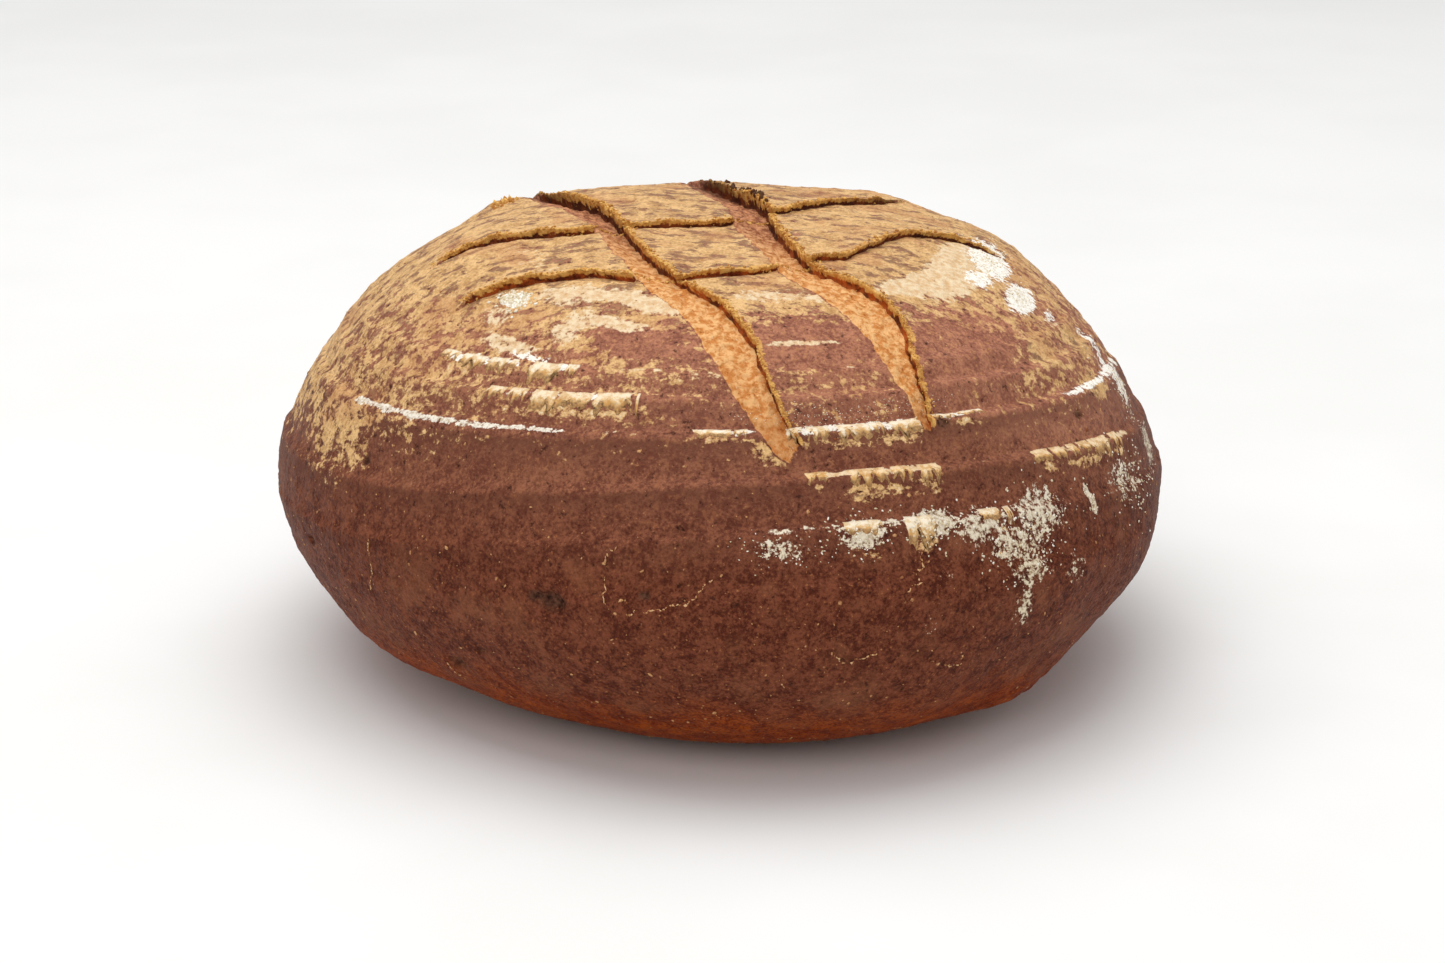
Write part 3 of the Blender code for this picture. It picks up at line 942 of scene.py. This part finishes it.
def build_paste_plates(crust, thickness):
    """Plates of dried flour paste on the ledges, cracked across where the loaf grew."""
    shape = bmesh.new()
    draw = random.Random(71)
    rows, turns, lifts, golds, downs = [], [], [], [], []
    for ledge, first, last, drop_mm, golden in PASTE_PLATES:
        mark = crust.profile.walk_at_height(COIL_LEDGES[ledge][0])
        radius, _ = crust.profile.point(mark)
        degree = math.radians(1.0) * float(radius)
        start = float(first)
        while start < last - 1.0:
            width = min(draw.uniform(*PLATE_WIDTHS) / degree, last - start)
            gap = draw.uniform(*PLATE_CRACKS) / degree
            drop = drop_mm * MM * draw.uniform(0.55, 1.1)
            across, down = (max(3, round(length / PLATE_CELL)) for length in (width * degree, drop))
            made = bmesh.ops.create_grid(shape, x_segments=across, y_segments=down, size=1.0)
            lift, seed = thickness * draw.uniform(0.6, 1.2), draw.uniform(0.0, 50.0)
            tilt = draw.uniform(-0.4, 0.4)
            for vert in made["verts"]:
                x, y = vert.co.x, vert.co.y
                share = (1.0 - y) / 2.0
                ragged = 1.0 + 0.9 * noise.noise(Vector((x * 2.6 + seed, 0.0, 0.0)))
                side = 0.28 * noise.noise(Vector((seed, y * 3.0, 4.0 + round(x) * 9.0))) + tilt * share * 0.3
                rows.append(mark - PLATE_START + drop * share * ragged)
                turns.append(math.radians(start + (width - gap) * ((x + 1.0) / 2.0 + side * 0.5)))
                rim = max(abs(x), abs(y)) ** 6
                lifts.append(lift * (1.0 - 0.6 * share) * (1.0 - 0.6 * rim))
                golds.append(golden * draw.uniform(0.8, 1.1))
                downs.append(share)
            start += width
    points, normals, _ = crust.surface(np.array(rows), np.array(turns))
    points = points + normals * np.array(lifts)[:, None]
    for vert, point in zip(shape.verts, points):
        vert.co = point
    bmesh.ops.solidify(shape, geom=shape.faces[:], thickness=thickness * 1.8)
    bmesh.ops.recalc_face_normals(shape, faces=shape.faces)
    copies = len(shape.verts) - len(golds)
    shares = {"golden": golds + golds[:copies], "down": downs + downs[:copies]}
    return mesh_from("flour_paste_plates", shape), shares


# ---------------------------------------------------------------- materials


def new_material(name):
    material = bpy.data.materials.new(name)
    material.use_nodes = True
    tree = material.node_tree
    return material, tree, tree.nodes["Principled BSDF"]


def add(tree, kind, sockets=None, **settings):
    """Adds a node; each socket is given a value, or linked when the value is another node's socket."""
    node = tree.nodes.new(kind)
    for name, value in settings.items():
        setattr(node, name, value)
    for key, value in (sockets or {}).items():
        if isinstance(value, bpy.types.NodeSocket):
            tree.links.new(value, node.inputs[key])
        else:
            node.inputs[key].default_value = value
    return node


class Finish:
    """Lays procedural films of colour over each other, in the piece's own coordinates."""

    def __init__(self, tree):
        self.tree = tree
        self.place = add(tree, "ShaderNodeTexCoord").outputs["Object"]

    def squeezed(self, scale):
        """The piece's coordinates squeezed, so that a pattern runs in streaks."""
        return add(self.tree, "ShaderNodeMapping", {"Vector": self.place, "Scale": scale}).outputs[0]

    def pattern(self, size_mm, detail=3.0, roughness=0.6, place=None):
        sockets = {"Vector": place or self.place, "Scale": 1.0 / (size_mm * MM)}
        sockets.update(Detail=detail, Roughness=roughness)
        return add(self.tree, "ShaderNodeTexNoise", sockets).outputs["Fac"]

    def share(self, name):
        return add(self.tree, "ShaderNodeAttribute", attribute_name=name).outputs["Fac"]

    def ramp(self, value, low, high):
        sockets = {"Value": value, "From Min": low, "From Max": high}
        return add(self.tree, "ShaderNodeMapRange", sockets, interpolation_type="SMOOTHSTEP").outputs[0]

    def math(self, operation, *values):
        return add(self.tree, "ShaderNodeMath", dict(enumerate(values)), operation=operation).outputs[0]

    def blend(self, first, second, share):
        """One value and another, mixed by a share of the second."""
        return self.math("MULTIPLY_ADD", second, share, self.math("MULTIPLY", first, 1.0 - share))

    def cover(self, share, pattern, softness=0.06, gain=0.55):
        """Where a film shows: everywhere at a share of 1, nowhere at 0, in the pattern's shapes between."""
        reach = self.math("MULTIPLY_ADD", share, gain, pattern)
        middle = 0.5 + gain / 2.0
        return self.ramp(reach, middle - softness, middle + softness)

    def over(self, under, colour, cover, strength=1.0):
        """A colour laid over another where it covers, at most this strong."""
        if strength < 1.0:
            cover = self.math("MULTIPLY", cover, strength)
        return add(self.tree, "ShaderNodeMix", {0: cover, 6: under, 7: colour}, data_type="RGBA").outputs[2]

    def two_tone(self, first, second, pattern, low=0.35, high=0.65):
        return self.over(linear(first), linear(second), self.ramp(pattern, low, high))

    def bump(self, height, distance_mm, strength, under=None):
        sockets = {"Height": height, "Distance": distance_mm * MM, "Strength": strength}
        if under is not None:
            sockets["Normal"] = under
        return add(self.tree, "ShaderNodeBump", sockets).outputs["Normal"]


def crust_finish(settings):
    """Rye and wheat crust baked dark: mahogany belly, golden film on the crown, torn orange crumb."""
    material, tree, shader = new_material("baked_rye_wheat_crust")
    lay = Finish(tree)
    grain = lay.pattern(0.9, 3.0, 0.65)
    speck = lay.pattern(2.0, 4.0, 0.65)
    mottle = lay.pattern(5.5, 6.0, 0.70)
    patch = lay.pattern(20.0, 4.0, 0.6)
    streak = lay.pattern(5.0, 6.0, 0.72, lay.squeezed(STREAK_SQUEEZE))
    toast, back, burnt = lay.share("toast"), lay.share("back"), lay.share("burnt")
    slit, edge, pit_in_shade, shade = lay.share("slit"), lay.share("edge"), lay.share("pit_in_shade"), lay.share("shade")
    rough = lay.blend(mottle, grain, 0.5)

    # the belly's mahogany, with paler grain, orange flecks and dark pores
    belly = lay.over(tuple(settings.belly_dark), tuple(settings.belly_light), lay.ramp(rough, 0.40, 0.62))
    belly = lay.over(belly, linear("#814630"), lay.ramp(speck, 0.52, 0.64), 0.70)
    belly = lay.over(belly, linear("#b57440"), lay.ramp(grain, 0.63, 0.72), 0.60)
    belly = lay.over(belly, linear("#8f5a3c"), lay.ramp(patch, 0.52, 0.68), 0.35)

    # the crown's rosy brown, where the golden film is thin
    crown = lay.two_tone("#8a5442", "#c08263", rough, 0.40, 0.62)
    crown = lay.over(crown, linear("#c98d60"), lay.ramp(speck, 0.54, 0.66), 0.55)
    colour = lay.over(belly, crown, toast)
    # painted shade under the ledges, broken up by the roughness pattern
    painted_ledge_shade = lay.math("MULTIPLY", shade, lay.ramp(rough, 0.36, 0.56))
    colour = lay.over(colour, linear("#3a1a12"), painted_ledge_shade, 0.75)
    colour = lay.over(colour, linear("#2c1008"), lay.ramp(speck, 0.41, 0.31), 0.75)

    # orange-brown foot, rougher and lighter at its very edge; its orange is partly the crust's own colour,
    # partly painted warm reflected light and painted shade
    height = add(tree, "ShaderNodeSeparateXYZ", {0: lay.place}).outputs["Z"]
    rise = lay.math("MULTIPLY_ADD", patch, 0.022, height)
    foot = lay.two_tone("#661c00", "#a84c06", rough, 0.40, 0.62)
    colour = lay.over(colour, foot, lay.ramp(rise, 0.044, 0.020))
    foot_edge = lay.two_tone("#7d421c", "#bd8350", speck)
    colour = lay.over(colour, foot_edge, lay.ramp(height, 0.0085, 0.0035), 0.6)
    # painted contact shadow: the lowest 1.6 mm of the crust, where it meets the floor, darkened
    colour = lay.over(colour, lay.two_tone("#2a120a", "#4f2a18", grain), lay.ramp(height, 0.0016, 0.0004))

    # films of flour that browned with the crust
    gold = lay.two_tone("#c0925c", "#f0c589", rough, 0.38, 0.60)
    gold = lay.over(gold, linear("#85604a"), lay.ramp(streak, 0.50, 0.42), 0.85)
    gold = lay.over(gold, linear("#c07f52"), lay.ramp(patch, 0.50, 0.62), 0.35)
    film_pattern = lay.blend(streak, speck, 0.45)
    colour = lay.over(colour, gold, lay.cover(lay.share("gold"), film_pattern, 0.035), 0.94)
    cream = lay.two_tone("#dcb485", "#f0d9b4", speck)
    colour = lay.over(colour, cream, lay.cover(lay.share("cream"), film_pattern, 0.05))
    dusty = lay.blend(grain, speck, 0.5)
    raw_belly = lay.two_tone("#a38460", "#eadcc0", dusty, 0.42, 0.60)
    raw_crown = lay.two_tone("#dcc8a2", "#fffaf0", dusty, 0.36, 0.52)
    raw = lay.over(raw_belly, raw_crown, toast)
    flour_cover = lay.cover(lay.share("flour"), lay.blend(speck, grain, 0.35), 0.035)
    colour = lay.over(colour, raw, flour_cover)

    # torn crumb on the floors of the slashes, darker towards the back
    front_crumb = lay.two_tone("#cd8342", "#f0bb7e", speck, 0.40, 0.60)
    front_crumb = lay.over(front_crumb, linear("#b4703c"), lay.ramp(toast, 1.0, 0.6), 0.55)
    back_crumb = lay.two_tone("#8a5238", "#cf9066", speck, 0.38, 0.62)
    crumb = lay.over(front_crumb, back_crumb, back)
    crumb = lay.over(crumb, linear("#96501f"), lay.ramp(lay.blend(grain, speck, 0.5), 0.42, 0.34), 0.85)
    crumb = lay.over(crumb, linear("#f7e6cc"), lay.ramp(grain, 0.66, 0.72), 0.6)
    crumb = lay.over(crumb, linear("#3a1c14"), burnt, 0.7)
    colour = lay.over(colour, crumb, lay.cover(lay.share("torn"), rough, 0.06, 1.0))
    # painted shade in the narrow gap under each lifted edge, darker towards the back
    dark = lay.over(lay.two_tone("#5a1f0c", "#b0521c", mottle, 0.42, 0.6), linear("#30160e"), back, 0.7)
    colour = lay.over(colour, dark, lay.cover(slit, speck, 0.12, 1.0), 0.95)
    rim = lay.over(lay.two_tone("#b8772f", "#ecb864", speck), linear("#4a2618"), burnt, 0.85)
    colour = lay.over(colour, rim, lay.cover(edge, speck, 0.06, 0.6), 0.8)

    # painted shade in the holes of the skin
    colour = lay.over(colour, lay.two_tone("#2c150d", "#6b4634", speck), pit_in_shade, 0.95)
    tree.links.new(colour, shader.inputs["Base Color"])
    dull = lay.math("MAXIMUM", lay.share("cream"), flour_cover)
    tree.links.new(lay.math("MULTIPLY_ADD", dull, 0.25, settings.crust_roughness), shader.inputs["Roughness"])
    shader.inputs["Specular IOR Level"].default_value = 0.08
    coarse = lay.bump(lay.blend(speck, mottle, 0.45), 1.5, 0.95)
    tree.links.new(lay.bump(grain, 0.35, 0.70, coarse), shader.inputs["Normal"])
    return material


def crumb_finish(name, pale, deep, charred, roughness):
    """Toasted crumb: each lump has its own depth of browning, from its tone and burn."""
    material, tree, shader = new_material(name)
    lay = Finish(tree)
    grain = lay.pattern(0.5, 2.0)
    body = lay.over(linear(pale), linear(deep), lay.ramp(lay.share("tone"), 0.1, 0.95))
    body = lay.over(body, linear(deep), lay.ramp(grain, 0.50, 0.35), 0.7)
    body = lay.over(body, linear(charred), lay.share("burn"))
    tree.links.new(body, shader.inputs["Base Color"])
    shader.inputs["Roughness"].default_value = roughness
    shader.inputs["Specular IOR Level"].default_value = 0.2
    tree.links.new(lay.bump(grain, 0.15, 0.6), shader.inputs["Normal"])
    return material


def paste_finish():
    """Dried flour paste: chalky at the ledge's top, browned and thin lower down."""
    material, tree, shader = new_material("cracked_flour_paste")
    lay = Finish(tree)
    grain, speck = lay.pattern(0.7, 3.0), lay.pattern(2.0, 4.0, 0.65)
    down, golden = lay.share("down"), lay.share("golden")
    chalk = lay.two_tone("#e2c79c", "#f7ecd6", speck, 0.38, 0.58)
    browned = lay.two_tone("#c98f45", "#ecc07a", speck, 0.38, 0.60)
    body = lay.over(chalk, browned, golden)
    body = lay.over(body, browned, lay.cover(down, grain, 0.15, 0.9), 0.8)
    worn = lay.ramp(lay.math("MULTIPLY_ADD", speck, 0.9, down), 1.0, 1.25)
    body = lay.over(body, lay.two_tone("#7d5a3c", "#b58a58", grain), worn, 0.9)
    tree.links.new(body, shader.inputs["Base Color"])
    shader.inputs["Roughness"].default_value = 0.9
    shader.inputs["Specular IOR Level"].default_value = 0.2
    tree.links.new(lay.bump(grain, 0.25, 0.7, lay.bump(speck, 0.5, 0.6)), shader.inputs["Normal"])
    return material


def floor_finish():
    """Matt white card: a soft even ground with the faintest tooth."""
    material, tree, shader = new_material("matt_white_card")
    lay = Finish(tree)
    tree.links.new(lay.two_tone("#f0efec", "#f4f3f1", lay.pattern(180.0)), shader.inputs["Base Color"])
    shader.inputs["Roughness"].default_value = 0.95
    shader.inputs["Specular IOR Level"].default_value = 0.1
    tree.links.new(lay.bump(lay.pattern(1.5, 2.0), 0.05, 0.2), shader.inputs["Normal"])
    return material


# ---------------------------------------------------------------- settings, operators and panel


def length(name, words, value):
    return FloatProperty(name=name, description=words, default=value, unit="LENGTH", precision=5)


def colour_setting(name, words, hex_colour):
    return FloatVectorProperty(name=name, description=words, subtype="COLOR", size=4, min=0.0, max=1.0,
                               default=linear(hex_colour))


class LoafSettings(bpy.types.PropertyGroup):
    """Sizes and colours of the loaf."""

    loaf_radius: length("Loaf radius", "Half the loaf's width before its lobes", 0.125)
    loaf_height: length("Loaf height", "Height of the crown before its edges lifted", 0.1285)
    belly_height: length("Belly height", "Height of the widest part", 0.0545)
    base_radius: length("Base radius", "Radius at which the belly's curve meets the base", 0.059)
    grain_depth: length("Grain depth", "Depth of the crust's modelled grain", 0.00032)
    plate_thickness: length("Paste thickness", "Thickness of the flour paste", 0.0002)
    fineness: IntProperty(name="Fineness", description="Subdivisions of the sheet that the crust starts from",
                          default=8, min=4, max=8)
    crumbs: IntProperty(name="Slash crumbs", description="Crumbs on each long slash", default=420, min=1)
    flecks: IntProperty(name="Bran flecks", description="Flecks of bran on the crust", default=3200, min=1)
    crust_roughness: FloatProperty(name="Crust roughness", description="Roughness of bare crust",
                                   default=0.55, min=0.0, max=1.0, subtype="FACTOR")
    belly_dark: colour_setting("Belly, dark", "Deepest brown of the belly", "#4c1e10")
    belly_light: colour_setting("Belly, light", "Lighter brown of the belly", "#7c452e")


class LoafOperator:
    """What the loaf's operators share: one surface, worked out once from the settings."""

    bl_options = {"REGISTER", "UNDO"}
    shared = {}

    def crust(self, context):
        if "crust" not in LoafOperator.shared:
            LoafOperator.shared["crust"] = Crust(context.scene.loaf)
        return LoafOperator.shared["crust"]


class LOAF_OT_crust(LoafOperator, bpy.types.Operator):
    """Build the crust: the whole loaf with its ledges, slashes and films of flour"""

    bl_idname = "loaf.crust"
    bl_label = "Crust"

    def execute(self, context):
        settings = context.scene.loaf
        mesh, shares = build_crust(self.crust(context), settings.fineness)
        piece = new_piece("crust", mesh, shares, crust_finish(settings))
        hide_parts("loaf")
        return {"FINISHED"}


class LOAF_OT_paste_plates(LoafOperator, bpy.types.Operator):
    """Lay the cracked plates of flour paste on the ledges"""

    bl_idname = "loaf.paste_plates"
    bl_label = "Flour paste plates"

    def execute(self, context):
        mesh, shares = build_paste_plates(self.crust(context), context.scene.loaf.plate_thickness)
        new_piece("flour_paste_plates", mesh, shares, paste_finish())
        return {"FINISHED"}


class LOAF_OT_crumbs(LoafOperator, bpy.types.Operator):
    """Line the slashes with toasted crumbs, and lay the tears and the bran flecks on the crust"""

    bl_idname = "loaf.crumbs"
    bl_label = "Crumbs, tears and bran"

    def execute(self, context):
        crust, settings = self.crust(context), context.scene.loaf
        toasted = crumb_finish("toasted_crust_crumb", "#e8b866", "#b27634", "#3f2015", 0.75)
        build_slash_crumbs(crust, settings.crumbs).finish("slash_crumbs", toasted)
        skin = crumb_finish("dry_torn_skin", "#e2b684", "#b07a4c", "#4a2a1c", 0.8)
        build_skin_tears(crust, TEAR_STEP).finish("skin_tears", skin)
        bran = crumb_finish("toasted_bran", "#cf9d68", "#84482a", "#4a2a1c", 0.7)
        build_bran_flecks(crust, settings.flecks).finish("bran_flecks", bran)
        return {"FINISHED"}


class LOAF_OT_flour(LoafOperator, bpy.types.Operator):
    """Scatter the clotted grains of raw flour"""

    bl_idname = "loaf.flour"
    bl_label = "Flour grains"

    def execute(self, context):
        white = crumb_finish("raw_wheat_flour", "#fbf5e8", "#d9c7a2", "#c9b596", 0.95)
        build_flour_grains(self.crust(context)).finish("flour_grains", white)
        return {"FINISHED"}


# The camera: where it stands from the base's middle, how far down it looks, and its lens
CAMERA_PLACE = (0.0011, -1.1465, 0.4417)
CAMERA_PITCH = 18.8
CAMERA_LENS = 105.0
FLOOR_HALF = 3.0
WORLD_LIGHT = 0.60
# Soft boxes: (name, place, aimed at, width, watts)
SOFT_BOXES = (
    ("overhead_soft_box", (-0.1, 0.1, 1.3), (0.0, 0.0, 0.05), 1.5, 13.0),
    ("front_soft_box", (-0.3, -1.5, 1.1), (0.0, -0.3, 0.05), 1.0, 6.0),
)


def put(scene, name, data, place=(0.0, 0.0, 0.0), turn=(0.0, 0.0, 0.0)):
    thing = bpy.data.objects.new(name, data)
    thing.location = place
    thing.rotation_euler = turn
    scene.collection.objects.link(thing)
    return thing


def add_camera(scene):
    data = bpy.data.cameras.new("camera")
    data.lens = CAMERA_LENS
    data.clip_start = 0.05
    turn = (math.radians(90.0 - CAMERA_PITCH), 0.0, 0.0)
    scene.camera = put(scene, "camera", data, CAMERA_PLACE, turn)


def add_soft_box(scene, name, place, aim, width, watts):
    data = bpy.data.lights.new(name, "AREA")
    data.shape = "SQUARE"
    data.size = width
    data.energy = watts
    turn = (Vector(aim) - Vector(place)).to_track_quat("-Z", "Y").to_euler()
    put(scene, name, data, place, turn)


class LOAF_OT_stage(bpy.types.Operator):
    """Set the floor, the soft boxes and the camera"""

    bl_idname = "loaf.stage"
    bl_label = "Stage"
    bl_options = {"REGISTER", "UNDO"}

    def execute(self, context):
        scene = context.scene
        shape = bmesh.new()
        bmesh.ops.create_grid(shape, x_segments=1, y_segments=1, size=FLOOR_HALF)
        mesh = mesh_from("floor", shape)
        mesh.materials.append(floor_finish())
        floor = put(scene, "floor", mesh)
        for box in SOFT_BOXES:
            add_soft_box(scene, *box)
        world = bpy.data.worlds.new("pale_room")
        world.use_nodes = True
        background = world.node_tree.nodes["Background"]
        background.inputs["Color"].default_value = linear("#f6f7f9")
        background.inputs["Strength"].default_value = WORLD_LIGHT
        scene.world = world
        scene.view_settings.view_transform = "Standard"
        add_camera(scene)
        return {"FINISHED"}


class LOAF_PT_panel(bpy.types.Panel):
    """Lists the loaf's pieces and settings"""

    bl_idname = "LOAF_PT_panel"
    bl_label = "Sourdough Loaf"
    bl_space_type = "VIEW_3D"
    bl_region_type = "UI"
    bl_category = "Loaf"

    def draw(self, context):
        for name in LoafSettings.__annotations__:
            self.layout.prop(context.scene.loaf, name)
        for operator in OPERATORS:
            self.layout.operator(operator.bl_idname)


OPERATORS = (LOAF_OT_crust, LOAF_OT_paste_plates, LOAF_OT_crumbs, LOAF_OT_flour, LOAF_OT_stage)
CLASSES = (LoafSettings, *OPERATORS, LOAF_PT_panel)


def register():
    for cls in CLASSES:
        bpy.utils.register_class(cls)
    bpy.types.Scene.loaf = PointerProperty(type=LoafSettings)


def unregister():
    del bpy.types.Scene.loaf
    for cls in reversed(CLASSES):
        bpy.utils.unregister_class(cls)


def main():
    register()
    bpy.ops.loaf.crust()
    bpy.ops.loaf.paste_plates()
    bpy.ops.loaf.crumbs()
    bpy.ops.loaf.flour()
    bpy.ops.loaf.stage()


if __name__ == "__main__":
    main()
